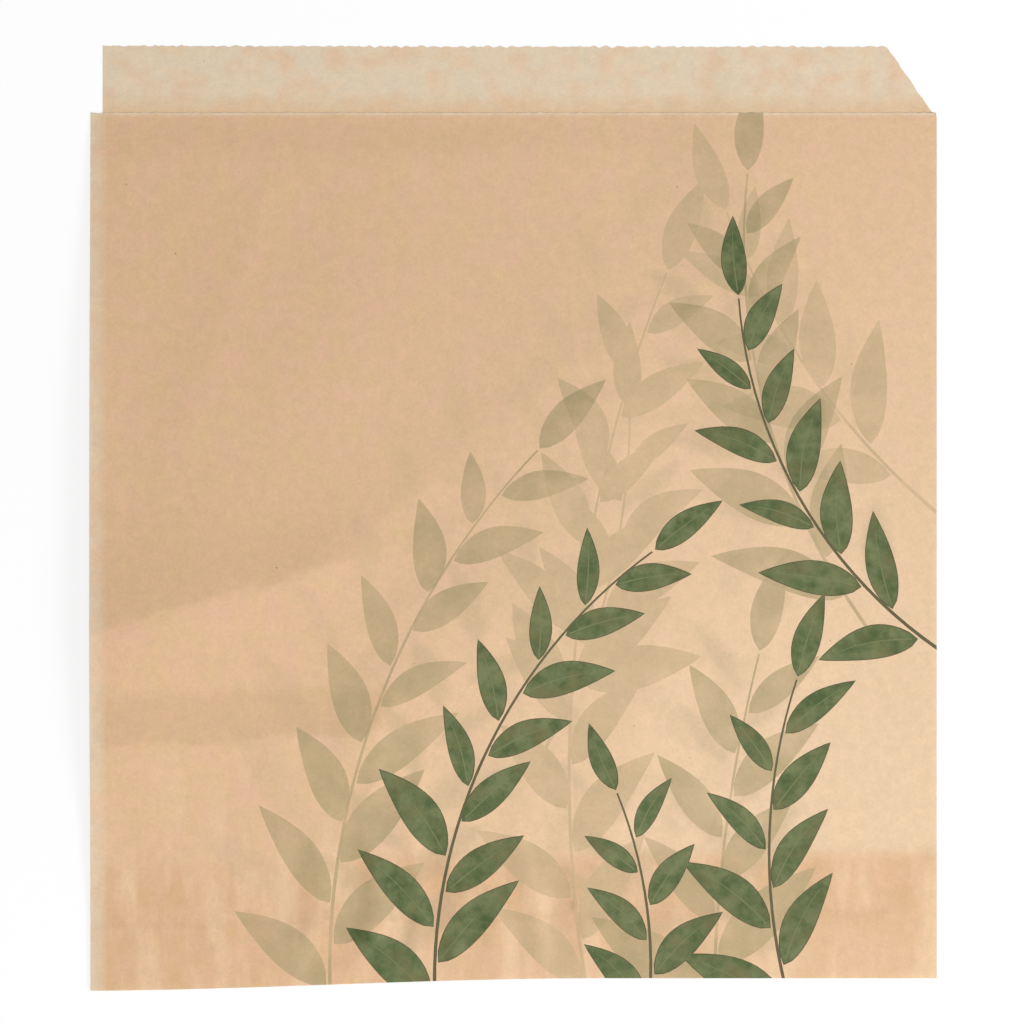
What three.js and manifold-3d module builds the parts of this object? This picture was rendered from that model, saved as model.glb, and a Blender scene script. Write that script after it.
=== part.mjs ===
// Paper snack bag, open along its top and its left side, lying on its back.
//
// The bag is one sheet of thin greaseproof kraft paper. It is folded once along its right side,
// so that it has a front and a back panel, and then both layers are turned under together along
// the bottom. The sheet was torn off its roll along a toothed line that steps up from the front
// panel to the back one. That step is the lip with its slanted corner at the top of the bag. At the
// bottom it leaves the end of the front panel's flap longer than the back panel's, and that stretch
// is glued to the outside of the back panel.
//
// Millimetres. X runs across the bag to its folded side, Y up to its lip, and Z up from the table.
import * as THREE from 'three';
import { mergeVertices } from 'three/addons/utils/BufferGeometryUtils.js';
import Module from 'manifold-3d';

// Paper, and how tightly it is folded
const PAPER_THICKNESS = 0.05;
const FOLD_GAP = 0.1; // clear space between two layers beside a fold
const GLUE_THICKNESS = 0.03;

// Panels
const FRONT_WIDTH = 160;
const BACK_SETBACK = 2.3; // the back panel's open edge lies this far inside the front one's
const FRONT_HEIGHT = 163.6; // along the folded side
const FLAP_LENGTH = 23; // of the front panel's layer, turned under at the bottom

// The bottom fold runs a little lower towards the open side
const FOLD_DROP = 2.4;
const FOLD_DROP_START = 96.5; // from the front panel's open edge
const FOLD_DROP_RUN = 102;

// The torn line across the sheet
const LIP_HEIGHT = 12.5;
const CORNER_WIDTH = 8.7; // of the slanted stretch beside the folded side
const CORNER_SHOULDER = 0.8; // level stretch between the side fold and the slant
const TOOTH_PITCH = 2.5;
const TOOTH_DEPTH = 0.35;

// The front panel bulges off the back one: it rises gently from both folds and comes down again to
// a narrow gap at the top
const BULGE_HEIGHT = 6.6;
const RISE_FROM_SIDE = 84;
const RISE_FROM_BOTTOM = 78;
const FALL_TO_TOP = 72;
const TOP_GAP_SHARE = 0.12; // of the bulge that is left at the top edge
const WAVE_HEIGHT = 0.35;
const WAVE_LENGTH = 58;
const WAVE_SLANT = 0.6; // how far its crests shift sideways over a unit of height

// Steps by which the back panel comes down from the folded flap to the table
const STEP_RUN = 2;
const STEP_CLEARANCE = 0.6;
const GLUE_MARGIN = 1;

// Facets
const FOLD_FACETS = 6;
const PANEL_FACET = 9;
const BULGE_FACET = 6;
const RIM_DEPTH = 4; // stretch along each torn edge that meets the teeth

const PAPER_COLOUR = 0xdab892;
const PAPER_ROUGHNESS = 0.85;

const HALF_PAPER = PAPER_THICKNESS / 2;
const LAYER_PITCH = PAPER_THICKNESS + FOLD_GAP; // from the middle of one layer to the next
const FOLD_RADIUS = LAYER_PITCH / 2;
const SIDE_ARC = Math.PI * FOLD_RADIUS; // paper used up by the side fold
const BOTTOM_ARC = Math.PI * LAYER_PITCH; // and by the bottom fold, midway between its two layers

const OPEN_EDGE_X = -FRONT_WIDTH / 2;
const SIDE_FOLD_X = FRONT_WIDTH / 2 - FOLD_RADIUS - HALF_PAPER; // centre of the side fold
const BOTTOM_FOLD_Y = FOLD_RADIUS + LAYER_PITCH + HALF_PAPER; // centre of the bottom fold

// Places on the flat sheet: "across" is 0 at the side fold, negative on the back panel and positive
// on the front one, and "up" is 0 at the bottom fold and negative on the flap.
const FRONT_EDGE = SIDE_FOLD_X - OPEN_EDGE_X + SIDE_ARC / 2;
const BACK_EDGE = -(FRONT_EDGE - BACK_SETBACK);
const BACK_FLAP_LENGTH = FLAP_LENGTH - LIP_HEIGHT;

const clamp01 = (value) => THREE.MathUtils.clamp(value, 0, 1);
const ease = (value) => THREE.MathUtils.smoothstep(value, 0, 1);

// Share of the lip's height that the torn line has gained at a distance from the side fold
const stepShare = (fromFold) => clamp01((fromFold - CORNER_SHOULDER) / CORNER_WIDTH);

// The torn line, above the front panel's level. Both ends of the sheet have the same line.
function tornLine(across) {
  const phase = Math.abs(((across / TOOTH_PITCH) % 1 + 1) % 1 - 0.5) * 2;
  const step = across < 0 ? LIP_HEIGHT * stepShare(-across) : 0;
  return step + TOOTH_DEPTH * (phase - 0.5);
}

const topEdge = (across) => FRONT_HEIGHT + tornLine(across);
const bottomEdge = (across) => -FLAP_LENGTH + tornLine(across);

// How far the bottom fold lies below its level at the side fold
const foldDrop = (x) => FOLD_DROP * ease((OPEN_EDGE_X + FOLD_DROP_START - x) / FOLD_DROP_RUN);

// How far the front panel stands off the back one
function lift(fromSide, up) {
  const rise = ease(fromSide / RISE_FROM_SIDE) * ease(up / RISE_FROM_BOTTOM);
  const fall = (1 - TOP_GAP_SHARE) * ease(1 - (FRONT_HEIGHT - up) / FALL_TO_TOP);
  const wave = Math.sin((2 * Math.PI * (fromSide + WAVE_SLANT * up)) / WAVE_LENGTH);
  return rise * (1 - fall) * (BULGE_HEIGHT + WAVE_HEIGHT * wave);
}

// How far both panels have come down at a height above the bottom fold: first on to the glued
// stretch of the front panel's flap, past the end of the back one's, and then on to the table
const LAP_SINK = 2 * LAYER_PITCH - PAPER_THICKNESS - GLUE_THICKNESS;
const TABLE_SINK = 2 * LAYER_PITCH;

function sink(fromSide, up) {
  const backFlapEnd = FLAP_LENGTH - LIP_HEIGHT * stepShare(fromSide);
  const ontoLap = ease((up - backFlapEnd - STEP_CLEARANCE) / STEP_RUN);
  const ontoTable = ease((up - FLAP_LENGTH - STEP_CLEARANCE) / STEP_RUN);
  return LAP_SINK * ontoLap + (TABLE_SINK - LAP_SINK) * ontoTable;
}

// Where a point of the sheet lies on the folded bag. "outward" is its distance from the middle of
// the paper towards the printed side.
function folded(across, up, outward) {
  const fromSide = Math.max(0, Math.abs(across) - SIDE_ARC / 2);
  const above = Math.max(0, up - BOTTOM_ARC / 2);
  const below = Math.max(0, -up - BOTTOM_ARC / 2);

  // Round the side fold: no turn on the back panel, and half a turn on the front one
  const sideTurn = Math.PI * clamp01(0.5 + across / SIDE_ARC);
  const x = SIDE_FOLD_X - fromSide + (FOLD_RADIUS + outward) * Math.sin(sideTurn);
  const height = FOLD_RADIUS - (FOLD_RADIUS + outward) * Math.cos(sideTurn);

  // Round the bottom fold: no turn on the panels, and half a turn on the flap
  const bottomTurn = Math.PI * clamp01(0.5 - up / BOTTOM_ARC);
  const radius = FOLD_RADIUS + height;
  const drop = foldDrop(x) * (1 - above / FRONT_HEIGHT);
  const y = BOTTOM_FOLD_Y - drop + above + below - radius * Math.sin(bottomTurn);
  const raised = across > 0 ? lift(fromSide, above) : 0;
  const z = -FOLD_RADIUS + radius * Math.cos(bottomTurn) + raised - sink(fromSide, up);
  return new THREE.Vector3(x, y, z);
}

// Even steps from one place to another, no longer than a facet, without the last
function steps(from, to, facet) {
  const count = Math.max(1, Math.ceil(Math.abs(to - from) / facet));
  return Array.from({ length: count }, (_, i) => from + ((to - from) * i) / count);
}

function columnPlaces() {
  const foldFacet = SIDE_ARC / FOLD_FACETS;
  return [
    ...steps(BACK_EDGE, -(CORNER_SHOULDER + CORNER_WIDTH), 2 * PANEL_FACET),
    ...steps(-(CORNER_SHOULDER + CORNER_WIDTH), -CORNER_SHOULDER, PANEL_FACET),
    -CORNER_SHOULDER,
    ...steps(-SIDE_ARC / 2, SIDE_ARC / 2, foldFacet),
    ...steps(SIDE_ARC / 2, RISE_FROM_SIDE, BULGE_FACET),
    ...steps(RISE_FROM_SIDE, FRONT_EDGE, PANEL_FACET),
    FRONT_EDGE,
  ];
}

function rowPlaces() {
  const foldFacet = BOTTOM_ARC / FOLD_FACETS;
  const lapStart = BACK_FLAP_LENGTH + STEP_CLEARANCE;
  const tableStart = FLAP_LENGTH + STEP_CLEARANCE;
  return [
    -(BACK_FLAP_LENGTH - RIM_DEPTH),
    ...steps(-BOTTOM_ARC / 2, BOTTOM_ARC / 2, foldFacet),
    ...steps(BOTTOM_ARC / 2, lapStart, BULGE_FACET),
    ...steps(lapStart, lapStart + STEP_RUN, STEP_RUN / 2),
    ...steps(lapStart + STEP_RUN, tableStart, BULGE_FACET),
    ...steps(tableStart, tableStart + STEP_RUN, STEP_RUN / 2),
    ...steps(tableStart + STEP_RUN, FRONT_HEIGHT - RIM_DEPTH, BULGE_FACET),
    FRONT_HEIGHT - RIM_DEPTH,
  ];
}

// Points of the torn line strictly between two columns
function teethBetween(left, right) {
  const half = TOOTH_PITCH / 2;
  const places = [];
  for (let i = Math.floor(left / half) + 1; i * half < right - TOOTH_DEPTH / 10; i += 1) {
    if (i * half > left + TOOTH_DEPTH / 10) places.push(i * half);
  }
  return places;
}

// The flat sheet as triangles of [across, up] points: a grid of cells, with the outermost row at
// each end cut to the torn line
function flatSheet() {
  const points = [];
  const found = new Map();
  const triangles = [];
  const pointAt = (across, up) => {
    const key = `${across.toFixed(6)} ${up.toFixed(6)}`;
    if (!found.has(key)) {
      found.set(key, points.length);
      points.push([across, up]);
    }
    return found.get(key);
  };
  const addCell = (outline) => {
    const contour = outline.map(([across, up]) => new THREE.Vector2(across, up));
    for (const corners of THREE.ShapeUtils.triangulateShape(contour, [])) {
      triangles.push(corners.map((corner) => pointAt(...outline[corner])));
    }
  };

  const columns = columnPlaces();
  const rows = rowPlaces();
  for (let c = 0; c + 1 < columns.length; c += 1) {
    const [left, right] = [columns[c], columns[c + 1]];
    const teeth = teethBetween(left, right);
    const top = [right, ...teeth.toReversed(), left].map((across) => [across, topEdge(across)]);
    const bottom = [left, ...teeth, right].map((across) => [across, bottomEdge(across)]);
    addCell([...bottom, [right, rows[0]], [left, rows[0]]]);
    for (let r = 0; r + 1 < rows.length; r += 1) {
      addCell([[left, rows[r]], [right, rows[r]], [right, rows[r + 1]], [left, rows[r + 1]]]);
    }
    addCell([[left, rows.at(-1)], [right, rows.at(-1)], ...top]);
  }
  return { points, triangles };
}

// A closed skin round flat triangles: one face at each of two places given for a flat point, and a
// wall along every edge that only one triangle has
function thickened({ points, triangles }, upperPlace, lowerPlace) {
  const positions = [];
  for (const place of [upperPlace, lowerPlace]) {
    for (const point of points) positions.push(...place(...point).toArray());
  }
  const index = [];
  const lower = (corner) => corner + points.length;
  const used = new Set(triangles.flatMap(([a, b, c]) => [`${a} ${b}`, `${b} ${c}`, `${c} ${a}`]));
  for (const [a, b, c] of triangles) {
    index.push(a, b, c, lower(c), lower(b), lower(a));
    for (const [from, to] of [[a, b], [b, c], [c, a]]) {
      if (used.has(`${to} ${from}`)) continue;
      index.push(from, lower(from), to, to, lower(from), lower(to));
    }
  }
  const geometry = new THREE.BufferGeometry();
  geometry.setAttribute('position', new THREE.Float32BufferAttribute(positions, 3));
  geometry.setIndex(index);
  return geometry;
}

// The sheet's outer side is up on the front panel, so the flat sheet is seen from its inner side
function paperSheet() {
  return thickened(
    flatSheet(),
    (across, up) => folded(across, up, -HALF_PAPER),
    (across, up) => folded(across, up, HALF_PAPER),
  );
}

// The line of glue between the end of the front panel's flap and the outside of the back panel. It
// bites into both layers, so that the three become one solid.
function glueLine() {
  const bite = PAPER_THICKNESS / 4;
  const flapFace = -2 * LAYER_PITCH + HALF_PAPER;
  const from = BACK_FLAP_LENGTH + STEP_CLEARANCE + STEP_RUN + GLUE_MARGIN;
  const to = FLAP_LENGTH - TOOTH_DEPTH - GLUE_MARGIN;
  const left = OPEN_EDGE_X + BACK_SETBACK + GLUE_MARGIN;
  const right = SIDE_FOLD_X - CORNER_SHOULDER - CORNER_WIDTH - STEP_CLEARANCE - STEP_RUN;
  const places = [...steps(left, right, PANEL_FACET), right];
  const at = (x, up, z) => new THREE.Vector3(x, BOTTOM_FOLD_Y - foldDrop(x) + up, z);
  const points = places.flatMap((x) => [[x, from], [x, to]]);
  const triangles = places.slice(1).flatMap((_, i) => {
    const [a, b, c, d] = [2 * i, 2 * i + 2, 2 * i + 3, 2 * i + 1];
    return [[a, b, c], [a, c, d]];
  });
  return thickened(
    { points, triangles },
    (x, up) => at(x, up, flapFace + GLUE_THICKNESS + bite),
    (x, up) => at(x, up, flapFace - bite),
  );
}

const wasm = await Module();
wasm.setup();

function solidFrom(geometry) {
  const merged = mergeVertices(geometry);
  return new wasm.Manifold(new wasm.Mesh({
    numProp: 3,
    vertProperties: merged.attributes.position.array,
    triVerts: new Uint32Array(merged.index.array),
  }));
}

function geometryFrom(solid) {
  const mesh = solid.getMesh();
  const geometry = new THREE.BufferGeometry();
  geometry.setAttribute('position', new THREE.BufferAttribute(mesh.vertProperties, mesh.numProp));
  geometry.setIndex(new THREE.BufferAttribute(mesh.triVerts, 1));
  return geometry;
}

// The origin is below the middle of the bag, on the table
function standOnOrigin(geometry) {
  geometry.computeBoundingBox();
  const { min, max } = geometry.boundingBox;
  return geometry.translate(-(min.x + max.x) / 2, -(min.y + max.y) / 2, -min.z);
}

function paperBag() {
  const glued = solidFrom(paperSheet()).add(solidFrom(glueLine()));
  const material = new THREE.MeshStandardMaterial({
    color: PAPER_COLOUR,
    roughness: PAPER_ROUGHNESS,
    metalness: 0,
  });
  const mesh = new THREE.Mesh(standOnOrigin(geometryFrom(glued)), material);
  mesh.name = 'paper_bag';
  return mesh;
}

const bag = new THREE.Group();
bag.add(paperBag());

export default bag;
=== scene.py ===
"""The looks of a greaseproof paper snack bag with a printed leaf pattern, seen from straight above.

The bag is one sheet of paper. Its blank is laid out flat, with the printed leaves as faces of their
own, and every point of it is then folded into place, once for each side of the paper.

Blank and bag are worked out in millimetres. On the blank, seen from its printed side, x is 0 at the
side fold, negative on the front panel and positive on the back one, and y is 0 at the bottom fold and
negative on the flap.
"""

import math
import random

import bpy
import numpy as np
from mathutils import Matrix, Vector
from mathutils.geometry import delaunay_2d_cdt

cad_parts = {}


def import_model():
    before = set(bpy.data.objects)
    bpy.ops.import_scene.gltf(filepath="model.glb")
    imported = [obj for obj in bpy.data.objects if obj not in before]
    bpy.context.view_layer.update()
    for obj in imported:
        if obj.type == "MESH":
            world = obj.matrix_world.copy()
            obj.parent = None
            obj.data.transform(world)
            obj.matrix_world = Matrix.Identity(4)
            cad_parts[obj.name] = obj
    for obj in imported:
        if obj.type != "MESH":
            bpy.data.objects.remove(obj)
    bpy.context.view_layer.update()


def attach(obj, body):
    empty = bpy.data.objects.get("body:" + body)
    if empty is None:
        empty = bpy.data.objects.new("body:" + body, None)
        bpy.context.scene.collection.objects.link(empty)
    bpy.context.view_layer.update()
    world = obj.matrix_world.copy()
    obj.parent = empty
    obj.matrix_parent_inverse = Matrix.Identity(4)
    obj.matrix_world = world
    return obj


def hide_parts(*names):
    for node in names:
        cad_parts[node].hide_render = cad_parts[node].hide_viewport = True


MM = 0.001

# Paper and folds
PAPER_THICKNESS = 0.05
FOLD_GAP = 0.1
LAYER_PITCH = PAPER_THICKNESS + FOLD_GAP
FOLD_RADIUS = LAYER_PITCH / 2
SIDE_ARC = math.pi * FOLD_RADIUS
BOTTOM_ARC = math.pi * LAYER_PITCH

# Panels
FRONT_WIDTH = 160
BACK_SETBACK = 2.3
FRONT_HEIGHT = 163.6
FLAP_LENGTH = 23
FOLD_DROP = 2.4
FOLD_DROP_START = 96.5
FOLD_DROP_RUN = 102
OPEN_EDGE_X = -FRONT_WIDTH / 2
SIDE_FOLD_X = FRONT_WIDTH / 2 - FOLD_RADIUS - PAPER_THICKNESS / 2
BOTTOM_FOLD_Y = FOLD_RADIUS + LAYER_PITCH + PAPER_THICKNESS / 2
FRONT_EDGE = -(SIDE_FOLD_X - OPEN_EDGE_X + SIDE_ARC / 2)
BACK_EDGE = -FRONT_EDGE - BACK_SETBACK

# Torn line
LIP_HEIGHT = 12.5
CORNER_WIDTH = 8.7
CORNER_SHOULDER = 0.8
TOOTH_PITCH = 2.5
TOOTH_DEPTH = 0.35
TOOTH_SHARES = (0.1, 1.3)  # least and most of that depth that a tooth has
TEAR_ROUGHNESS = 0.22
FRONT_TEAR_SHARE = 0.55  # of the lip's roughness
CORNER_TEAR_SHARE = 0.75
BOTTOM_TEAR_SEED = 31
TOP_TEAR_SEED = 32
BACK_FLAP_LENGTH = FLAP_LENGTH - LIP_HEIGHT

# How the front panel bulges off the back one, and how both come down from the flap to the table
BULGE_HEIGHT = 6.6
RISE_FROM_SIDE = 84
RISE_FROM_BOTTOM = 78
FALL_TO_TOP = 72
TOP_GAP_SHARE = 0.12
WAVE_HEIGHT = 0.35
WAVE_LENGTH = 58
WAVE_SLANT = 0.6
EDGE_REST = 0.99  # of the gap that is gone at the very edge
EDGE_RUN = 9
EDGE_DROP = 0.07  # by how much the very edge lies lower still
STEP_RUN = 2
STEP_CLEARANCE = 0.6
GLUE_THICKNESS = 0.03
LAP_SINK = 2 * LAYER_PITCH - PAPER_THICKNESS - GLUE_THICKNESS
TABLE_SINK = 2 * LAYER_PITCH

# Creases in the front panel: the line of each crest, from the panel's open edge and the bottom fold,
# its height, and how far it runs out above the line and below it
CREASES = [
    ((0, 66), (42, 77), 0.7, 16, 20),
    ((42, 77), (70, 98), 0.5, 16, 14),
    ((4, 45.5), (50, 46.5), 0.5, 9, 14),
    ((50, 46.5), (62, 55), 0.4, 9, 12),
    ((52.9, 35.5), (56.3, 52.5), 0.35, 5, 5),
    ((60.9, 22.3), (62.4, 37.4), 0.4, 4, 4),
    ((96, 20), (110, 70), 0.4, 12, 10),
    ((18, 104), (34, 150), 0.3, 14, 12),
]
SLACK = 0.6  # by how much the bulge is lower between its creases
SIDE_STIFFNESS = 8  # how far beside the side fold and the bottom one the creases are held down
BOTTOM_STIFFNESS = 7

# Ripples above the bottom fold: how far up they reach, and between which distances from the panel's
# open edge they lie, with the runs over which they grow and fade
RIPPLE_HEIGHT = 0.5
RIPPLE_LENGTH = 9.6
RIPPLE_REACH = 46
RIPPLES_FROM = 14
RIPPLES_TO = 112
RIPPLE_GROWTH = 22
RIPPLE_FADING = 30

# Stretches of painted shade above creases of the front panel, which look deeper in tone. Each is a
# line, from the panel's open edge and the bottom fold, where the shade begins, how far above that line
# it stays and fades, between which distances along the panel it ends, and its strength
CREASE_SHADES = [
    ((0, 66), (42, 77.5), 7, 24, 44, 64, 0.5),
    ((4, 45.5), (50, 46.5), 8, 2.5, 52, 64, 0.5),
]
CREASE_SHADE_EDGE = 0.9

# Mesh
FACET = 1.5
BACK_FACET = 3
FOLD_FACETS = 6
TEAR_FACET = TOOTH_PITCH / 5
RIM_RUN = 0.35  # from the sheet's edge to the next row of points

# Print: leaves are solid fields of ink with a paler midrib, and two echoes are printed behind them
LEAF_POINTS = 14
LEAF_FULLEST = 0.78  # under 1, a leaf is widest nearer its base, and over 1, nearer its tip
LEAF_ROUNDNESS = 0.9
RIM_WIDTH = 0.15
RIB_WIDTH = 0.28
RIB_PLACES = (0.06, 0.2, 0.35, 0.5, 0.65, 0.8)
STEM_WIDTH = 0.7
STEPS_PER_PAIR = 4  # of a stem, from one pair of leaves to the next
FIRST_PAIR_STEP = 3
SECOND_LEAF_STEPS = 2  # by which the second leaf of a pair grows further up the stem
BACK_PRINT_SHIFT = (7, 8)
FAINT, ECHO, OVERLAP, RIM, LEAF, RIB, STEM = range(1, 8)

# Leaves along a sprig, least and most: their size, their angle to the stem in degrees, and their width
# and bend as shares of their length
LEAF_SIZES = (0.86, 1.1)
LEAF_ANGLES = (38, 54)
LEAF_WIDTHS = (0.29, 0.36)
LEAF_BENDS = (0.02, 0.07)
LEAF_SHRINKING = 0.45  # share of its size, and of its angle, that a leaf near the tip lacks
LEAF_CLOSING = 0.2
LEAF_GAP = 0.9  # between a leaf and the middle of its stem
TIP_LENGTH = 0.72  # of the leaf at a sprig's tip, as shares of the sprig's leaf length
TIP_WIDTH = 0.23
TIP_BEND = 0.03
TIP_GAP = 0.6

# Each sprig: where its stem starts, from the panel's open edge and the bottom fold, its heading, its
# length, how far it curls to the left, its pairs of leaves, their length, and a seed
SPRIGS = [
    (66, -14, 98, 108, -62, 7, 22, 11),
    (136, -16, 112, 74, -40, 4, 23, 12),
    (166.3, 58.4, 150, 86, -56, 5, 21, 13),
    (104, -16, 78, 52, 34, 3, 19, 14),
]
ECHO_SPRIGS = [
    (46, -12, 96, 122, -50, 7, 25, 21),
    (150, 62, 128, 96, -44, 5, 24, 22),
    (118, -18, 92, 80, -16, 4, 26, 23),
]
FAINT_SPRIGS = [
    (96, -14, 102, 150, -34, 8, 26, 31),
    (160, 88, 140, 70, -30, 4, 24, 32),
    (84, 40, 60, 70, 30, 4, 23, 33),
]

# Colours as they look, in sRGB from 0 to 255
PAPER_YELLOW = (227, 190, 145)
PAPER_PINK = (230, 188, 153)
# painted sheen, towards the side fold
PAPER_SHEEN = (235, 204, 168)
# painted shade above two creases
PAPER_CREASE_SHADE = (214, 177, 134)
# painted highlight on the ripples
PAPER_RIPPLE_HIGHLIGHT = (238, 203, 164)
PAPER_SINGLE = (234, 212, 181)
PAPER_CLOUD = (227, 212, 188)
# flap's layers, with painted shade at the step over its end
PAPER_FLAP_AND_STEP_SHADE = (219, 176, 132)
PAPER_BLUSH = (236, 198, 163)
# paler fibres along the cut edges, with a painted highlight
PAPER_EDGE_FIBRES_AND_HIGHLIGHT = (232, 212, 186)
SPECK = (150, 110, 78)
INK_DARK = (74, 92, 46)
INK_LIGHT = (116, 124, 80)
INK_OLIVE = (116, 110, 66)
INK_RIM = (88, 84, 52)
INK_RIB = (118, 124, 82)
INK_ECHO = (180, 160, 118)
INK_FAINT = (200, 174, 134)
INK_OVERLAP = (166, 150, 108)
INK_THROUGH = (178, 160, 124)
INK_STEM = (98, 92, 60)

# Where the paper's tones lie, in mm
SHEEN_REACH = 150  # how far from the side fold the painted sheen reaches
RIPPLE_HIGHLIGHT_SCALE = (1 / 7, 1 / 26, 0)  # painted ripple highlights: a streak is about 7 mm wide and 26 mm long
RIPPLE_HIGHLIGHT_REACH = 52  # how far up from the bottom fold they run
RIM_PALE = 0.7  # how far down from the front panel's torn edge its fibres are paler and a highlight is painted
LIP_SHADOW_REACH = 4.5  # how far up the lip the painted shadow of the front panel reaches
STRIP_RUN = 2.4  # over which the one-layer strip at the open side turns paler
STRIP_LEAD = 1.0  # by which that starts before the back panel's edge
LIP_RUN = 0.6  # the same for the lip, from before the front panel's edge
LIP_LEAD = 0.2
FLAP_OVERRUN = 2  # how far past the flap's end its tone goes, and how softly it ends
FLAP_SOFTNESS = 3.4
THROUGH_SOFTNESS = 2.2  # of the back panel's print, seen through the paper
THROUGH_SPREAD = 0.3  # share of that softness that lies outside a leaf
SPECK_SPACING = 7
SPECK_SIZES = (0.015, 0.035)  # a speck's dark middle and its rim, as shares of the spacing
SPECK_RARITY = 0.53

# How strong the tones are, from 0 to 1
STRIP_SHARE = 0.8
SHEEN_LOST_UP = 0.75  # of the painted sheen, lost up to the top edge and over the flap
SHEEN_LOST_OVER_FLAP = 0.6
FLAP_SHADE_LOST_DOWN = 0.4  # of the flap's tone and its painted step shade, lost down to the bottom fold
FLAP_AND_STEP_SHADE_SHARE = 0.85
FLAP_WARMTH = 0.55
RIPPLE_HIGHLIGHT_SHARE = 0.75
BLUSH_SHARE = 0.75
LIP_SHADOW_SHARE = 0.6
THROUGH_SHARE = 0.34
ECHO_THROUGH_SHARE = 0.35
EDGE_FIBRES_AND_HIGHLIGHT_SHARE = 0.6
SPECK_SHARE = 0.7

# Light, at a level at which a colour renders about as it is written, and the floor's own white
KEY_PLACE = (0.5, -0.47, 0.6)
KEY_SIZE = 0.4
KEY_POWER = 5.7
FILL_PLACE = (-0.1, 0.2, 1.5)
FILL_SIZE = 1.0
FILL_POWER = 4.7
SURROUNDING_LIGHT = 0.41
FLOOR_GLOW = 1.04
FLOOR_GLOW_SHARE = 0.8
FLOOR_HALF_SIDE = 3.0
FLOOR_DROP = 0.1 * MM

# Camera
PICTURE_SIDE = 193.6 * MM
PICTURE_MIDDLE = (-0.3 * MM, 1.1 * MM)
CAMERA_HEIGHT = 2.0
SENSOR_WIDTH = 36


# Values and shapes


def smooth_share(value):
    """Eases from 0 to 1 as the value goes from 0 to 1."""
    share = np.clip(value, 0, 1)
    return share * share * (3 - 2 * share)


def linear(colour):
    """An sRGB colour from 0 to 255 as linear light, with alpha."""
    parts = [c / 255 for c in colour]
    return (*(c / 12.92 if c <= 0.04045 else ((c + 0.055) / 1.055) ** 2.4 for c in parts), 1)


def step_share(from_fold):
    """Share of the lip's height that the torn line has gained at a distance from the side fold."""
    return np.clip((from_fold - CORNER_SHOULDER) / CORNER_WIDTH, 0, 1)


def torn_step(x):
    """Height of the torn line above the front panel's level, without its teeth."""
    return LIP_HEIGHT * float(step_share(x)) if x > 0 else 0


def fold_drop(bag_x):
    """How much lower the bottom fold runs towards the open side."""
    return FOLD_DROP * smooth_share((OPEN_EDGE_X + FOLD_DROP_START - bag_x) / FOLD_DROP_RUN)


def top_share(up):
    """How much of the bulge is left towards the top edge, which itself all but lies on the lip."""
    fallen = 1 - (1 - TOP_GAP_SHARE) * smooth_share(1 - (FRONT_HEIGHT - up) / FALL_TO_TOP)
    return fallen * (1 - EDGE_REST * smooth_share(1 - (FRONT_HEIGHT - up) / EDGE_RUN))


def lift(from_side, up):
    """How far the front panel stands off the back one."""
    rise = smooth_share(from_side / RISE_FROM_SIDE) * smooth_share(up / RISE_FROM_BOTTOM)
    wave = np.sin(2 * np.pi * (from_side + WAVE_SLANT * up) / WAVE_LENGTH)
    return rise * top_share(up) * (BULGE_HEIGHT + WAVE_HEIGHT * wave)


def crease(along, up, start, end, height, above, below):
    """Height of one crease: sharp along its line, and running out beside it and past its ends."""
    run = math.hypot(end[0] - start[0], end[1] - start[1])
    ahead = ((end[0] - start[0]) / run, (end[1] - start[1]) / run)
    place = (along - start[0]) * ahead[0] + (up - start[1]) * ahead[1]
    aside = (up - start[1]) * ahead[0] - (along - start[0]) * ahead[1]
    away = np.where(aside > 0, aside / above, -aside / below)
    past_end = np.maximum(0, np.maximum(-place, place - run)) / (above + below)
    return height * np.maximum(0, 1 - np.hypot(away, 2 * past_end)) ** 2


def ripples(along, up):
    """Height of the ripples above the bottom fold. They wander, and no two are quite alike."""
    wander = 0.4 * np.sin(along / 11) + 0.25 * np.sin(up / 8 + along / 20)
    reach = smooth_share(1 - up / RIPPLE_REACH)
    reach = reach * smooth_share((along - RIPPLES_FROM) / RIPPLE_GROWTH)
    reach = reach * smooth_share((RIPPLES_TO - along) / RIPPLE_FADING)
    reach = reach * (0.7 + 0.3 * np.sin(along / 6.5))
    crests = 2 - 2 * np.abs(np.sin(np.pi * (along / RIPPLE_LENGTH + wander)))
    return RIPPLE_HEIGHT * reach * crests


def relief(from_side, up):
    """Creases and ripples of the front panel, above its smooth shape."""
    along = FRONT_WIDTH - from_side
    height = sum(crease(along, up, *values) for values in CREASES) + ripples(along, up)
    off_side_fold = smooth_share(from_side / SIDE_STIFFNESS)
    off_bottom_fold = smooth_share(up / BOTTOM_STIFFNESS)
    slack = SLACK * smooth_share(from_side / RISE_FROM_SIDE) * smooth_share(up / RISE_FROM_BOTTOM)
    drop = EDGE_DROP * smooth_share(1 - (FRONT_HEIGHT - up) / EDGE_RUN)
    lowered = slack * top_share(up) + drop * off_side_fold
    return height * off_side_fold * off_bottom_fold - lowered


def sink(from_side, up):
    """How far both panels have come down from the folded flap, on to its glued end and the table."""
    back_flap_end = FLAP_LENGTH - LIP_HEIGHT * step_share(from_side)
    onto_lap = smooth_share((up - back_flap_end - STEP_CLEARANCE) / STEP_RUN)
    onto_table = smooth_share((up - FLAP_LENGTH - STEP_CLEARANCE) / STEP_RUN)
    return LAP_SINK * onto_lap + (TABLE_SINK - LAP_SINK) * onto_table


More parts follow.
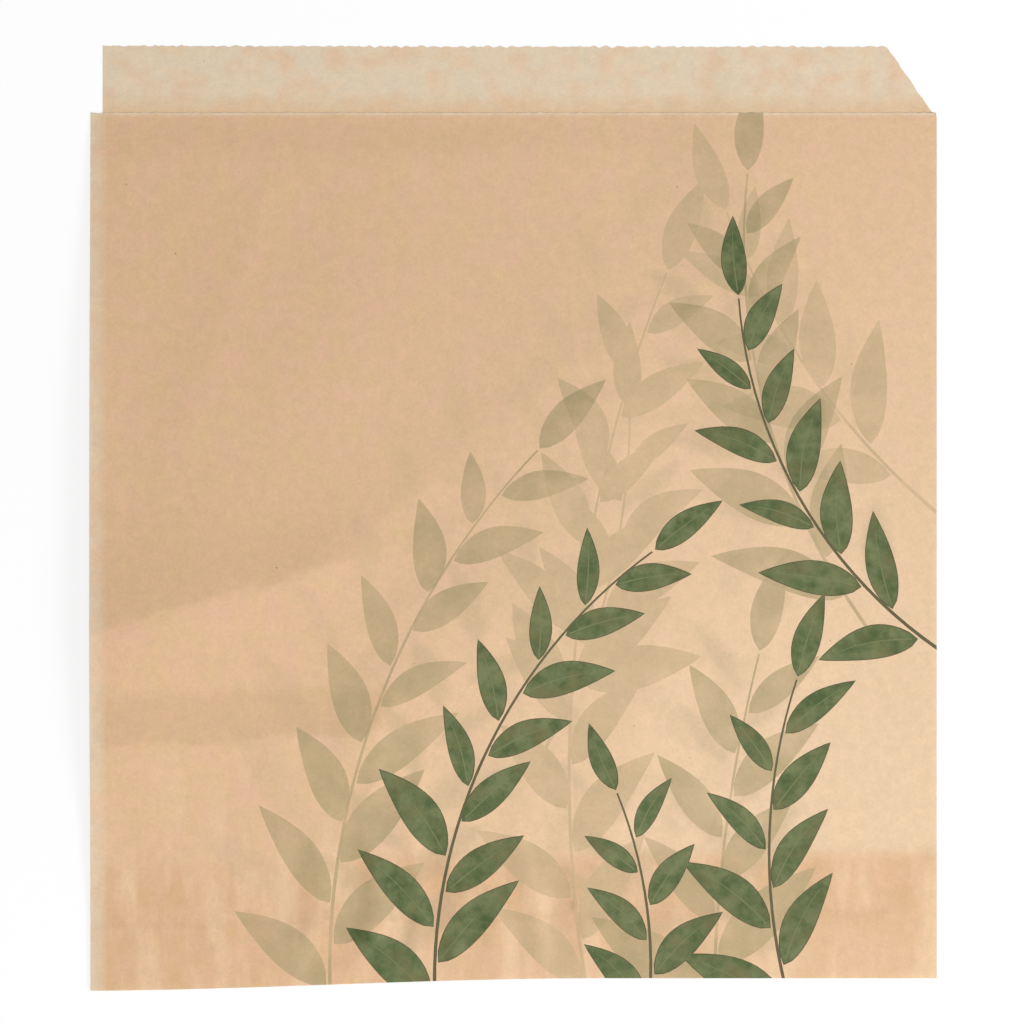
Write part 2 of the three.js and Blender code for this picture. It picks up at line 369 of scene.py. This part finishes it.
def folded(x, y, outward):
    """Places on the folded bag of points of the blank, at a distance from the middle of the paper
    towards its printed side."""
    from_side = np.maximum(0, np.abs(x) - SIDE_ARC / 2)
    above = np.maximum(0, y - BOTTOM_ARC / 2)
    below = np.maximum(0, -y - BOTTOM_ARC / 2)

    side_turn = np.clip((SIDE_ARC / 2 - x) / FOLD_RADIUS, 0, np.pi)
    side_radius = FOLD_RADIUS + outward
    bag_x = SIDE_FOLD_X - from_side + side_radius * np.sin(side_turn)
    height = FOLD_RADIUS - side_radius * np.cos(side_turn)

    bottom_turn = np.clip(np.pi * (0.5 - y / BOTTOM_ARC), 0, np.pi)
    bottom_radius = FOLD_RADIUS + height
    drop = fold_drop(bag_x) * (1 - above / FRONT_HEIGHT)
    bag_y = BOTTOM_FOLD_Y - drop + above + below - bottom_radius * np.sin(bottom_turn)
    raised = np.where(x < 0, lift(from_side, above) + relief(from_side, above), 0)
    bag_z = -FOLD_RADIUS + bottom_radius * np.cos(bottom_turn) + raised - sink(from_side, y)
    return np.stack([bag_x, bag_y, bag_z], axis=-1)


# The printed pattern


def leaf_outline(base, heading, length, width, bend, inset=0):
    """An almond-shaped leaf from its base to its tip, with its midline bent to one side."""
    along = Vector((math.cos(heading), math.sin(heading)))
    aside = Vector((-along.y, along.x))

    def edge(share, side):
        middle = bend * length * math.sin(math.pi * share)
        half = 0
        if 0 < share < 1:
            half = width / 2 * math.sin(math.pi * share**LEAF_FULLEST) ** LEAF_ROUNDNESS
        run = inset + (length - 2 * inset) * share
        return base + along * run + aside * (middle + side * max(0, half - inset))

    shares = [i / LEAF_POINTS for i in range(LEAF_POINTS + 1)]
    right = [edge(share, -1) for share in shares]
    left = [edge(share, 1) for share in reversed(shares[1:-1])]
    return right + left


def strip_outline(points, start_width, end_width):
    """A thin strip along a line of points, tapering from one width to another."""
    left, right = [], []
    for i, point in enumerate(points):
        ahead = (points[min(i + 1, len(points) - 1)] - points[max(i - 1, 0)]).normalized()
        aside = Vector((-ahead.y, ahead.x))
        half = (start_width + (end_width - start_width) * i / (len(points) - 1)) / 2
        left.append(point + aside * half)
        right.append(point - aside * half)
    return right + left[::-1]


class Print:
    """The shapes that are printed on the blank: each is an outline and a kind of ink."""

    def __init__(self):
        self.shapes = []
        self.leaves = []

    def add_leaf(self, base, heading, length, width, bend, kind):
        self.leaves.append((base, heading, length, width, bend, kind))
        if kind < RIM:
            self.shapes.append((leaf_outline(base, heading, length, width, bend), kind))
            return
        self.shapes.append((leaf_outline(base, heading, length, width, bend), RIM))
        inner = leaf_outline(base, heading, length, width, bend, RIM_WIDTH)
        self.shapes.append((inner, LEAF))
        along = Vector((math.cos(heading), math.sin(heading)))
        aside = Vector((-along.y, along.x))
        middle = [
            base + along * length * s + aside * bend * length * math.sin(math.pi * s)
            for s in RIB_PLACES
        ]
        self.shapes.append((strip_outline(middle, RIB_WIDTH, RIB_WIDTH / 3), RIB))

    def add_sprig(self, base, heading, length, curl, pairs, leaf_length, seed, kind):
        """A curved stem with pairs of leaves along it and one leaf at its tip. curl is how far the
        stem turns to the left on its way."""
        rng = random.Random(seed)
        count = STEPS_PER_PAIR * (pairs + 1)
        points = [base]
        for i in range(count):
            turned = heading + curl * (i + 0.5) / count
            points.append(points[-1] + Vector((math.cos(turned), math.sin(turned))) * length / count)
        stem_kind = STEM if kind == LEAF else kind
        self.shapes.append((strip_outline(points, STEM_WIDTH, STEM_WIDTH / 2), stem_kind))

        for pair in range(pairs):
            place = STEPS_PER_PAIR * pair + FIRST_PAIR_STEP
            turned = heading + curl * place / count
            for side in (1, -1):
                shrunk = 1 - LEAF_SHRINKING * pair / pairs
                size = leaf_length * shrunk * rng.uniform(*LEAF_SIZES)
                closed = 1 - LEAF_CLOSING * pair / pairs
                spread = math.radians(rng.uniform(*LEAF_ANGLES)) * closed
                width = size * rng.uniform(*LEAF_WIDTHS)
                bend = -side * rng.uniform(*LEAF_BENDS)
                further = 0 if side > 0 else SECOND_LEAF_STEPS
                start = points[min(place + further, count)]
                aim = turned + side * spread
                start = start + Vector((math.cos(aim), math.sin(aim))) * LEAF_GAP
                self.add_leaf(start, aim, size, width, bend, kind)
        turned = heading + curl
        tip = points[-1] + Vector((math.cos(turned), math.sin(turned))) * TIP_GAP
        length, width = TIP_LENGTH * leaf_length, TIP_WIDTH * leaf_length
        self.add_leaf(tip, turned, length, width, TIP_BEND, kind)


def printed_pattern():
    """A group of sprigs on each panel. The back one's is turned over about the side fold, and lies a
    little off, so that it shows through beside the front one's."""
    pattern = Print()
    for side, shift_x, shift_y in ((-1, 0, 0), (1, *BACK_PRINT_SHIFT)):
        for sprigs, kind in ((FAINT_SPRIGS, FAINT), (ECHO_SPRIGS, ECHO), (SPRIGS, LEAF)):
            for x, y, heading, length, curl, pairs, leaf, seed in sprigs:
                base = Vector((side * (FRONT_WIDTH - x) + shift_x, y + shift_y))
                turned = math.radians(heading if side < 0 else 180 - heading)
                curled = -side * math.radians(curl)
                pattern.add_sprig(base, turned, length, curled, pairs, leaf, seed, kind)
    return pattern


# The sheet of paper


def spaced(start, end, facet):
    """Even places from start up to just before end, no further apart than a facet."""
    count = max(1, math.ceil(abs(end - start) / facet))
    return [start + (end - start) * i / count for i in range(count)]


def column_places():
    """Where the points stand across the blank, close together in the side fold."""
    half = SIDE_ARC / 2
    return [
        FRONT_EDGE,
        *spaced(FRONT_EDGE + RIM_RUN, -half, FACET),
        *spaced(-half, half, SIDE_ARC / FOLD_FACETS),
        *spaced(half, BACK_EDGE - RIM_RUN, BACK_FACET),
        BACK_EDGE - RIM_RUN,
        BACK_EDGE,
    ]


def row_places():
    """Where the points lie up the blank, close together in the bottom fold and at both steps down."""
    half = BOTTOM_ARC / 2
    lap_start = BACK_FLAP_LENGTH + STEP_CLEARANCE
    table_start = FLAP_LENGTH + STEP_CLEARANCE
    top = FRONT_HEIGHT + LIP_HEIGHT
    return [
        *spaced(-FLAP_LENGTH, -half, FACET),
        *spaced(-half, half, BOTTOM_ARC / FOLD_FACETS),
        *spaced(half, lap_start, FACET),
        *spaced(lap_start, lap_start + STEP_RUN, STEP_RUN / 3),
        *spaced(lap_start + STEP_RUN, table_start, FACET),
        *spaced(table_start, table_start + STEP_RUN, STEP_RUN / 3),
        *spaced(table_start + STEP_RUN, top, FACET),
    ]


def torn_edge(level, seed):
    """Points of a torn edge from the front panel's open edge to the back one's. It is rougher along
    the lip, which was torn across its teeth, and no two teeth tore alike."""
    rng = random.Random(seed)
    teeth = math.ceil(2 * FRONT_WIDTH / TOOTH_PITCH) + 2
    depths = [rng.uniform(*TOOTH_SHARES) for _ in range(teeth)]
    points = []
    for x in [*spaced(FRONT_EDGE, BACK_EDGE, TEAR_FACET), BACK_EDGE]:
        share = FRONT_TEAR_SHARE if x < 0 else 1
        if 0 <= x < CORNER_SHOULDER + CORNER_WIDTH:
            share = CORNER_TEAR_SHARE
        tooth = depths[math.floor((x - FRONT_EDGE) / TOOTH_PITCH)]
        notch = TOOTH_DEPTH * tooth * (abs((x / TOOTH_PITCH) % 1 - 0.5) * 2 - 0.5)
        rough = TEAR_ROUGHNESS * rng.uniform(-0.5, 0.5)
        points.append(Vector((x, level + torn_step(x) + share * (notch + rough))))
    return points


def blank_points(margin):
    """Points all over the blank, but not within a margin of its torn edges."""
    rows = row_places()
    points = []
    for x in column_places():
        low = -FLAP_LENGTH + torn_step(x) + margin
        high = FRONT_HEIGHT + torn_step(x) - margin
        points.extend(Vector((x, y)) for y in rows if low < y < high)
    return points


def fold_lines(margin):
    """The two ends of each line along which the paper turns at its folds."""
    low = -FLAP_LENGTH + margin
    high = FRONT_HEIGHT - margin
    places = spaced(-SIDE_ARC / 2, SIDE_ARC / 2, SIDE_ARC / FOLD_FACETS) + [SIDE_ARC / 2]
    lines = [(Vector((x, low)), Vector((x, high))) for x in places]
    places = spaced(-BOTTOM_ARC / 2, BOTTOM_ARC / 2, BOTTOM_ARC / FOLD_FACETS) + [BOTTOM_ARC / 2]
    return lines + [(Vector((FRONT_EDGE, y)), Vector((BACK_EDGE, y))) for y in places]


def ink_on(origin, kinds):
    """The kind of ink that shows on a triangle within the given shapes."""
    printed = [kinds[i] for i in origin]
    layers = printed.count(FAINT) + printed.count(ECHO)
    ink = max(printed)
    return OVERLAP if ink == ECHO and layers > 1 else ink


def flat_sheet(pattern):
    """The blank's points and triangles, and the kind of ink on each triangle."""
    bottom = torn_edge(-FLAP_LENGTH, BOTTOM_TEAR_SEED)
    top = torn_edge(FRONT_HEIGHT, TOP_TEAR_SEED)
    points, faces, kinds = [], [], []
    for shape, kind in [(bottom + top[::-1], 0), *pattern.shapes]:
        faces.append(list(range(len(points), len(points) + len(shape))))
        points.extend(shape)
        kinds.append(kind)

    points.extend(point + Vector((0, RIM_RUN)) for point in bottom[1:-1])
    points.extend(point - Vector((0, RIM_RUN)) for point in top[1:-1])
    margin = TOOTH_DEPTH + TEAR_ROUGHNESS + RIM_RUN
    points.extend(blank_points(margin))
    lines = []
    for ends in fold_lines(margin):
        lines.append((len(points), len(points) + 1))
        points.extend(ends)

    found, _, triangles, _, _, origins = delaunay_2d_cdt(points, lines, faces, 1, 1e-5)
    kept, inks = [], []
    for triangle, origin in zip(triangles, origins):
        if 0 in origin:
            kept.append(list(triangle))
            inks.append(ink_on(origin, kinds))
    used, renumbered = np.unique(np.array(kept), return_inverse=True)
    flat = np.array([tuple(point) for point in found])[used]
    return flat, renumbered.reshape(-1, 3).tolist(), inks


def open_sides(triangles):
    """The sides that only one triangle has, along the edge of the sheet."""
    sides = {(t[i], t[(i + 1) % 3]) for t in triangles for i in range(3)}
    return [(a, b) for a, b in sides if (b, a) not in sides]


def sheet_faces(triangles, count):
    """Closed skin: the printed side, the inner side, and the cut edge between them."""
    faces = [list(t) for t in triangles]
    faces += [[i + count for i in reversed(t)] for t in triangles]
    faces += [[b, a, a + count, b + count] for a, b in open_sides(triangles)]
    return faces


def back_panel_print(flat, pattern):
    """How much of the back panel's print lies under each point of the blank, seen through it."""
    shown = np.zeros(len(flat))
    mirrored_x = np.abs(flat[:, 0])
    for base, heading, length, width, bend, kind in pattern.leaves:
        reach_x = mirrored_x - base.x
        reach_y = flat[:, 1] - base.y
        along = (reach_x * math.cos(heading) + reach_y * math.sin(heading)) / length
        aside = -reach_x * math.sin(heading) + reach_y * math.cos(heading)
        share = np.clip(along, 0, 1)
        middle = bend * length * np.sin(np.pi * share)
        half = width / 2 * np.sin(np.pi * share**LEAF_FULLEST)
        inside = smooth_share((half - np.abs(aside - middle)) / THROUGH_SOFTNESS + THROUGH_SPREAD)
        inside = inside * (along > 0) * (along < 1) * (1 if kind == LEAF else ECHO_THROUGH_SHARE)
        shown = np.maximum(shown, inside)
    return shown


def painted_lip_shadow(flat):
    """Painted shadow of the front panel on the lip: 1 right beside its edge, fading out up the lip."""
    over = (flat[:, 1] - FRONT_HEIGHT) / LIP_SHADOW_REACH
    return smooth_share(1 - over) * (flat[:, 0] > 0) * (over > -1)


def single_layer(flat):
    """Up to 1 where only one layer of paper lies on the table, and 0 elsewhere."""
    from_side = np.abs(flat[:, 0])
    beyond_back = smooth_share((from_side - BACK_EDGE + STRIP_LEAD) / STRIP_RUN)
    beyond_front = smooth_share((flat[:, 1] - FRONT_HEIGHT + LIP_LEAD) / LIP_RUN)
    return np.maximum(STRIP_SHARE * beyond_back, beyond_front)


def flap_and_step_shade(flat):
    """The flap's layers and painted shade of the step over its end: 1 over that end, fading down to
    the bottom fold, and 0 beyond it.
    """
    depth = np.clip(1 - flat[:, 1] / FLAP_LENGTH, 0, 1)
    over = smooth_share((FLAP_LENGTH + FLAP_OVERRUN - flat[:, 1]) / FLAP_SOFTNESS)
    return over * (1 - FLAP_SHADE_LOST_DOWN * depth)


def painted_sheen_share(flat):
    """Painted sheen, from 0 on the open side to 1 at the foot of the side fold."""
    from_side = np.abs(flat[:, 0])
    across = smooth_share(1 - from_side / SHEEN_REACH)
    up = 1 - SHEEN_LOST_UP * smooth_share(flat[:, 1] / FRONT_HEIGHT)
    return across * up * (1 - SHEEN_LOST_OVER_FLAP * flap_and_step_shade(flat))


def cut_edge(count, triangles):
    """1 for points on the edge of the sheet, and 0 elsewhere."""
    on_edge = np.zeros(count)
    on_edge[[a for a, _ in open_sides(triangles)]] = 1
    return on_edge


def mark_points(mesh, name, values):
    """Keeps a value of each point of the blank, on both sides of the paper."""
    attribute = mesh.attributes.new(name, "FLOAT", "POINT")
    attribute.data.foreach_set("value", np.concatenate([values, values]).astype(np.float32))


def mark_places(mesh, flat):
    """Keeps each point's distance from the front panel's open edge and from the bottom fold."""
    places = np.stack([flat[:, 0] - FRONT_EDGE, flat[:, 1], np.zeros(len(flat))], axis=-1)
    attribute = mesh.attributes.new("blank", "FLOAT_VECTOR", "POINT")
    both_sides = np.concatenate([places, places]).astype(np.float32)
    attribute.data.foreach_set("vector", both_sides.ravel())


def paper_sheet():
    """The whole bag: both skins of the folded blank, marked with what its material needs."""
    pattern = printed_pattern()
    flat, triangles, inks = flat_sheet(pattern)
    count = len(flat)
    outer = folded(flat[:, 0], flat[:, 1], PAPER_THICKNESS / 2)
    inner = folded(flat[:, 0], flat[:, 1], -PAPER_THICKNESS / 2)
    places = np.concatenate([outer, inner])
    lowest, highest = places.min(axis=0), places.max(axis=0)
    places -= [(lowest[0] + highest[0]) / 2, (lowest[1] + highest[1]) / 2, lowest[2]]

    faces = sheet_faces(triangles, count)
    mesh = bpy.data.meshes.new("paper_sheet")
    mesh.from_pydata((places * MM).tolist(), [], faces)
    ink = mesh.attributes.new("ink", "INT", "FACE")
    ink.data.foreach_set("value", inks + [0] * (len(faces) - len(inks)))
    mark_places(mesh, flat)
    mark_points(mesh, "single", single_layer(flat))
    # flap's layers and painted step shade
    mark_points(mesh, "flap", flap_and_step_shade(flat))
    # painted sheen
    mark_points(mesh, "painted_sheen", painted_sheen_share(flat))
    # painted shadow of the front panel on the lip
    mark_points(mesh, "lip_shadow", painted_lip_shadow(flat))
    mark_points(mesh, "through", back_panel_print(flat, pattern))
    # cut edges: paler fibres and a painted highlight
    mark_points(mesh, "edge", cut_edge(count, triangles))
    mesh.shade_smooth()
    mesh.set_sharp_from_angle(angle=math.radians(50))
    mesh.update()

    bag = bpy.data.objects.new("paper_sheet", mesh)
    bpy.context.scene.collection.objects.link(bag)
    return bag


# Materials


def add_node(tree, kind, inputs=None, **settings):
    """Adds a node. An input is a plain value, or a socket that is linked to it."""
    node = tree.nodes.new(kind)
    for name, value in settings.items():
        setattr(node, name, value)
    for name, value in (inputs or {}).items():
        if isinstance(value, bpy.types.NodeSocket):
            tree.links.new(value, node.inputs[name])
        else:
            node.inputs[name].default_value = value
    return node


def mixed(tree, factor, first, second):
    """A colour between two others. Each is a socket, or an sRGB colour."""
    node = tree.nodes.new("ShaderNodeMix")
    node.data_type = "RGBA"
    for socket, value in ((0, factor), (6, first), (7, second)):
        if isinstance(value, bpy.types.NodeSocket):
            tree.links.new(value, node.inputs[socket])
        elif socket == 0:
            node.inputs[socket].default_value = value
        else:
            node.inputs[socket].default_value = linear(value)
    return node.outputs[2]


def noise(tree, place, size, detail=3, roughness=0.5):
    """Noise whose features are about size millimetres across."""
    values = {"Vector": place, "Scale": 1 / (size * MM), "Detail": detail, "Roughness": roughness}
    return add_node(tree, "ShaderNodeTexNoise", values).outputs["Fac"]


def ramped(tree, value, low, high, bottom=0, top=1):
    """Maps a value from low..high to bottom..top, and keeps it there."""
    inputs = {"Value": value, "From Min": low, "From Max": high, "To Min": bottom, "To Max": top}
    return add_node(tree, "ShaderNodeMapRange", inputs, clamp=True).outputs["Result"]


def attribute(tree, name):
    """A value that the mesh was marked with."""
    return add_node(tree, "ShaderNodeAttribute", attribute_name=name).outputs["Fac"]


def calculated(tree, operation, first, second):
    node = add_node(tree, "ShaderNodeMath", {0: first, 1: second}, operation=operation)
    return node.outputs[0]


def times(tree, first, second):
    return calculated(tree, "MULTIPLY", first, second)


def is_kind(tree, ink, kind):
    """1 on faces with that kind of ink, and 0 elsewhere."""
    values = {0: ink, 1: float(kind), 2: 0.5}
    return add_node(tree, "ShaderNodeMath", values, operation="COMPARE").outputs[0]


def specks(tree, place):
    """A few darker specks of bark in the pulp: one to a cell, in about a third of the cells."""
    spacing = {"Vector": place, "Scale": 1 / (SPECK_SPACING * MM)}
    cells = add_node(tree, "ShaderNodeTexVoronoi", spacing)
    dot = ramped(tree, cells.outputs["Distance"], *SPECK_SIZES, 1, 0)
    drawn = noise(tree, cells.outputs["Position"], 3)
    chosen = calculated(tree, "GREATER_THAN", drawn, SPECK_RARITY)
    return times(tree, times(tree, dot, chosen), SPECK_SHARE)


def place_on_blank(tree):
    """Distance from the front panel's open edge and from the bottom fold, as X and Y, in mm."""
    return add_node(tree, "ShaderNodeAttribute", attribute_name="blank").outputs["Vector"]


def ripple_highlights(tree):
    """Painted highlights of the ripples: paler stripes running up from the bottom fold, from 0 to 1.
    """
    blank = place_on_blank(tree)
    stretch = {0: blank, 1: RIPPLE_HIGHLIGHT_SCALE}
    stretched = add_node(tree, "ShaderNodeVectorMath", stretch, operation="MULTIPLY")
    pattern = noise(tree, stretched.outputs["Vector"], 1 / MM, 3, 0.55)
    up = add_node(tree, "ShaderNodeSeparateXYZ", {"Vector": blank}).outputs["Y"]
    low = ramped(tree, up, RIPPLE_HIGHLIGHT_REACH / 3, RIPPLE_HIGHLIGHT_REACH, 1, 0)
    return times(tree, ramped(tree, pattern, 0.46, 0.62), low)


def crease_shade(tree, place):
    """Painted shade above two crease lines of the front panel, from 0 to 1."""
    blank = place_on_blank(tree)
    along = add_node(tree, "ShaderNodeSeparateXYZ", {"Vector": blank}).outputs["X"]
    wobble = ramped(tree, noise(tree, place, 7), 0.3, 0.7, -1, 1)
    tone = 0.0
    for start, end, stays, fades, ends_from, ends_to, strength in CREASE_SHADES:
        ahead = (Vector(end) - Vector(start)).normalized()
        aside = Vector((-ahead.y, ahead.x, 0))
        level = Vector((*start, 0)).dot(aside)
        across = {0: blank, 1: aside}
        line = add_node(tree, "ShaderNodeVectorMath", across, operation="DOT_PRODUCT")
        over = calculated(tree, "ADD", line.outputs["Value"], wobble)
        begun = ramped(tree, over, level, level + CREASE_SHADE_EDGE)
        ended = ramped(tree, over, level + stays, level + stays + fades, strength, 0)
        reach = ramped(tree, along, ends_from, ends_to, 1, 0)
        zone = times(tree, times(tree, begun, ended), reach)
        tone = calculated(tree, "MAXIMUM", zone, tone)
    return tone


def torn_rim_fibres_and_highlight(tree, place):
    """Up to 1 along the front panel's torn top edge, where paler fibres and a painted highlight show,
    and 0 elsewhere.
    """
    parts = add_node(tree, "ShaderNodeSeparateXYZ", {"Vector": place_on_blank(tree)})
    high = ramped(tree, parts.outputs["Y"], FRONT_HEIGHT - RIM_PALE, FRONT_HEIGHT - RIM_PALE / 2)
    front = ramped(tree, parts.outputs["X"], FRONT_WIDTH - 1, FRONT_WIDTH, 1, 0)
    patchy = ramped(tree, noise(tree, place, 5), 0.36, 0.62, 0.25, 0.75)
    return times(tree, times(tree, high, front), patchy)


def single_layer_colour(tree, place):
    """One layer of paper, cloudy and a little pinker in places, with painted shade at the lip's base.
    """
    cloud = ramped(tree, noise(tree, place, 6, 4, 0.7), 0.42, 0.78)
    colour = mixed(tree, cloud, PAPER_SINGLE, PAPER_CLOUD)
    blush = ramped(tree, noise(tree, place, 5, 2), 0.46, 0.7, 0, BLUSH_SHARE)
    colour = mixed(tree, blush, colour, PAPER_BLUSH)
    # painted shadow of the front panel at the lip's base
    return mixed(tree, times(tree, attribute(tree, "lip_shadow"), LIP_SHADOW_SHARE), colour, PAPER_YELLOW)


def paper_colour(tree, place):
    """Kraft paper, mottled in warm tones, with the tones of what lies below it, and with painted light
    and shade: a sheen, shade above creases, at the lip's base and at the flap's step, and highlights
    on the ripples and the edges.
    """
    warmth = ramped(tree, noise(tree, place, 5, 4), 0.35, 0.65)
    colour = mixed(tree, warmth, PAPER_YELLOW, PAPER_PINK)
    # painted sheen, paler towards the side fold
    colour = mixed(tree, attribute(tree, "painted_sheen"), colour, PAPER_SHEEN)
    # painted shade above two creases
    colour = mixed(tree, crease_shade(tree, place), colour, PAPER_CREASE_SHADE)
    # flap's layers and painted shade at the step over its end
    flap = mixed(tree, times(tree, warmth, FLAP_WARMTH), PAPER_FLAP_AND_STEP_SHADE, PAPER_PINK)
    colour = mixed(tree, times(tree, attribute(tree, "flap"), FLAP_AND_STEP_SHADE_SHARE), colour, flap)
    # painted highlights on the ripples
    colour = mixed(tree, times(tree, ripple_highlights(tree), RIPPLE_HIGHLIGHT_SHARE), colour, PAPER_RIPPLE_HIGHLIGHT)
    colour = mixed(tree, attribute(tree, "single"), colour, single_layer_colour(tree, place))
    # paler fibres and a painted highlight along the torn top edge
    colour = mixed(tree, torn_rim_fibres_and_highlight(tree, place), colour, PAPER_EDGE_FIBRES_AND_HIGHLIGHT)

    through = times(tree, attribute(tree, "through"), THROUGH_SHARE)
    colour = mixed(tree, through, colour, INK_THROUGH)
    colour = mixed(tree, specks(tree, place), colour, SPECK)
    # paler fibres and a painted highlight along every cut edge
    return mixed(tree, times(tree, attribute(tree, "edge"), EDGE_FIBRES_AND_HIGHLIGHT_SHARE), colour, PAPER_EDGE_FIBRES_AND_HIGHLIGHT)


def printed_colour(tree, place, paper):
    """The ink of the pattern over the paper, uneven as watercolour is."""
    ink = attribute(tree, "ink")
    wash = ramped(tree, noise(tree, place, 3.5, 5, 0.65), 0.36, 0.64)
    green = mixed(tree, wash, INK_DARK, INK_LIGHT)
    warmer = ramped(tree, noise(tree, place, 6, 3, 0.6), 0.5, 0.68, 0, 0.65)
    green = mixed(tree, warmer, green, INK_OLIVE)
    faded = ramped(tree, noise(tree, place, 8), 0.35, 0.65, 0.55, 0.9)
    colour = paper
    for kind, printed in ((FAINT, INK_FAINT), (ECHO, INK_ECHO), (OVERLAP, INK_OVERLAP)):
        colour = mixed(tree, times(tree, is_kind(tree, ink, kind), faded), colour, printed)
    for kind, printed in ((RIM, INK_RIM), (LEAF, green), (RIB, INK_RIB), (STEM, INK_STEM)):
        colour = mixed(tree, is_kind(tree, ink, kind), colour, printed)
    return colour


def paper_material():
    """Matt paper with its print, and with fibres in its tone, its gloss and its surface."""
    material = bpy.data.materials.new("printed_greaseproof_paper")
    material.use_nodes = True
    tree = material.node_tree
    tree.nodes.clear()
    place = add_node(tree, "ShaderNodeTexCoord").outputs["Object"]

    colour = printed_colour(tree, place, paper_colour(tree, place))
    fibres = noise(tree, place, 0.6, 4, 0.7)
    clumps = ramped(tree, noise(tree, place, 2.2, 4, 0.7), 0.3, 0.7, 0.95, 1.04)
    grain = times(tree, ramped(tree, fibres, 0.3, 0.7, 0.95, 1.05), clumps)
    shaded = add_node(tree, "ShaderNodeHueSaturation", {"Value": grain, "Color": colour})
    relief_values = {"Strength": 0.25, "Distance": 0.05 * MM, "Height": fibres}
    bump = add_node(tree, "ShaderNodeBump", relief_values)
    surface = {
        "Base Color": shaded.outputs["Color"],
        "Roughness": ramped(tree, fibres, 0.3, 0.7, 0.5, 0.62),
        "Specular IOR Level": 0.35,
        "Normal": bump.outputs["Normal"],
    }
    shader = add_node(tree, "ShaderNodeBsdfPrincipled", surface)
    output = add_node(tree, "ShaderNodeOutputMaterial")
    tree.links.new(shader.outputs["BSDF"], output.inputs["Surface"])
    return material


# The scene round the bag


def floor_material():
    """White to the camera, and still able to show the bag's shadow."""
    material = bpy.data.materials.new("white_floor")
    material.use_nodes = True
    tree = material.node_tree
    tree.nodes.clear()
    seen = add_node(tree, "ShaderNodeLightPath").outputs["Is Camera Ray"]
    diffuse = add_node(tree, "ShaderNodeBsdfDiffuse", {"Color": (0.9, 0.9, 0.9, 1)})
    glow = add_node(tree, "ShaderNodeEmission", {"Strength": FLOOR_GLOW})
    both = add_node(tree, "ShaderNodeMixShader", {"Fac": times(tree, seen, FLOOR_GLOW_SHARE)})
    tree.links.new(diffuse.outputs[0], both.inputs[1])
    tree.links.new(glow.outputs[0], both.inputs[2])
    output = add_node(tree, "ShaderNodeOutputMaterial")
    tree.links.new(both.outputs[0], output.inputs["Surface"])
    return material


def floor():
    mesh = bpy.data.meshes.new("floor")
    corners = [(-1, -1), (1, -1), (1, 1), (-1, 1)]
    places = [(x * FLOOR_HALF_SIDE, y * FLOOR_HALF_SIDE, -FLOOR_DROP) for x, y in corners]
    mesh.from_pydata(places, [], [(0, 1, 2, 3)])
    mesh.materials.append(floor_material())
    ground = bpy.data.objects.new("floor", mesh)
    bpy.context.scene.collection.objects.link(ground)
    return ground


def lamp(name, place, size, power):
    """A square area lamp that shines at the bag."""
    light = bpy.data.lights.new(name, "AREA")
    light.shape = "SQUARE"
    light.size = size
    light.energy = power
    obj = bpy.data.objects.new(name, light)
    obj.location = place
    obj.rotation_mode = "QUATERNION"
    obj.rotation_quaternion = (-Vector(place)).to_track_quat("-Z", "Y")
    bpy.context.scene.collection.objects.link(obj)


def world():
    """Soft light from all round, and plain white to the camera."""
    surroundings = bpy.data.worlds.new("studio")
    bpy.context.scene.world = surroundings
    surroundings.use_nodes = True
    tree = surroundings.node_tree
    tree.nodes.clear()
    seen = add_node(tree, "ShaderNodeLightPath").outputs["Is Camera Ray"]
    strength = ramped(tree, seen, 0, 1, SURROUNDING_LIGHT, 1)
    glow = add_node(tree, "ShaderNodeBackground", {"Strength": strength})
    output = add_node(tree, "ShaderNodeOutputWorld")
    tree.links.new(glow.outputs[0], output.inputs["Surface"])


def camera():
    """Looks straight down, as the photograph does, at a square whose middle lies a little to the left
    of the bag's and nearer its lip."""
    data = bpy.data.cameras.new("camera")
    data.sensor_width = SENSOR_WIDTH
    data.lens = SENSOR_WIDTH * CAMERA_HEIGHT / PICTURE_SIDE
    obj = bpy.data.objects.new("camera", data)
    obj.location = (*PICTURE_MIDDLE, CAMERA_HEIGHT)
    bpy.context.scene.collection.objects.link(obj)
    bpy.context.scene.camera = obj


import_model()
camera()
world()
lamp("key", KEY_PLACE, KEY_SIZE, KEY_POWER)
lamp("fill", FILL_PLACE, FILL_SIZE, FILL_POWER)

bag = paper_sheet()
bag.data.materials.append(paper_material())
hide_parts("paper_bag")
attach(bag, "root")

ground = floor()

scene = bpy.context.scene
scene.view_settings.view_transform = "Standard"
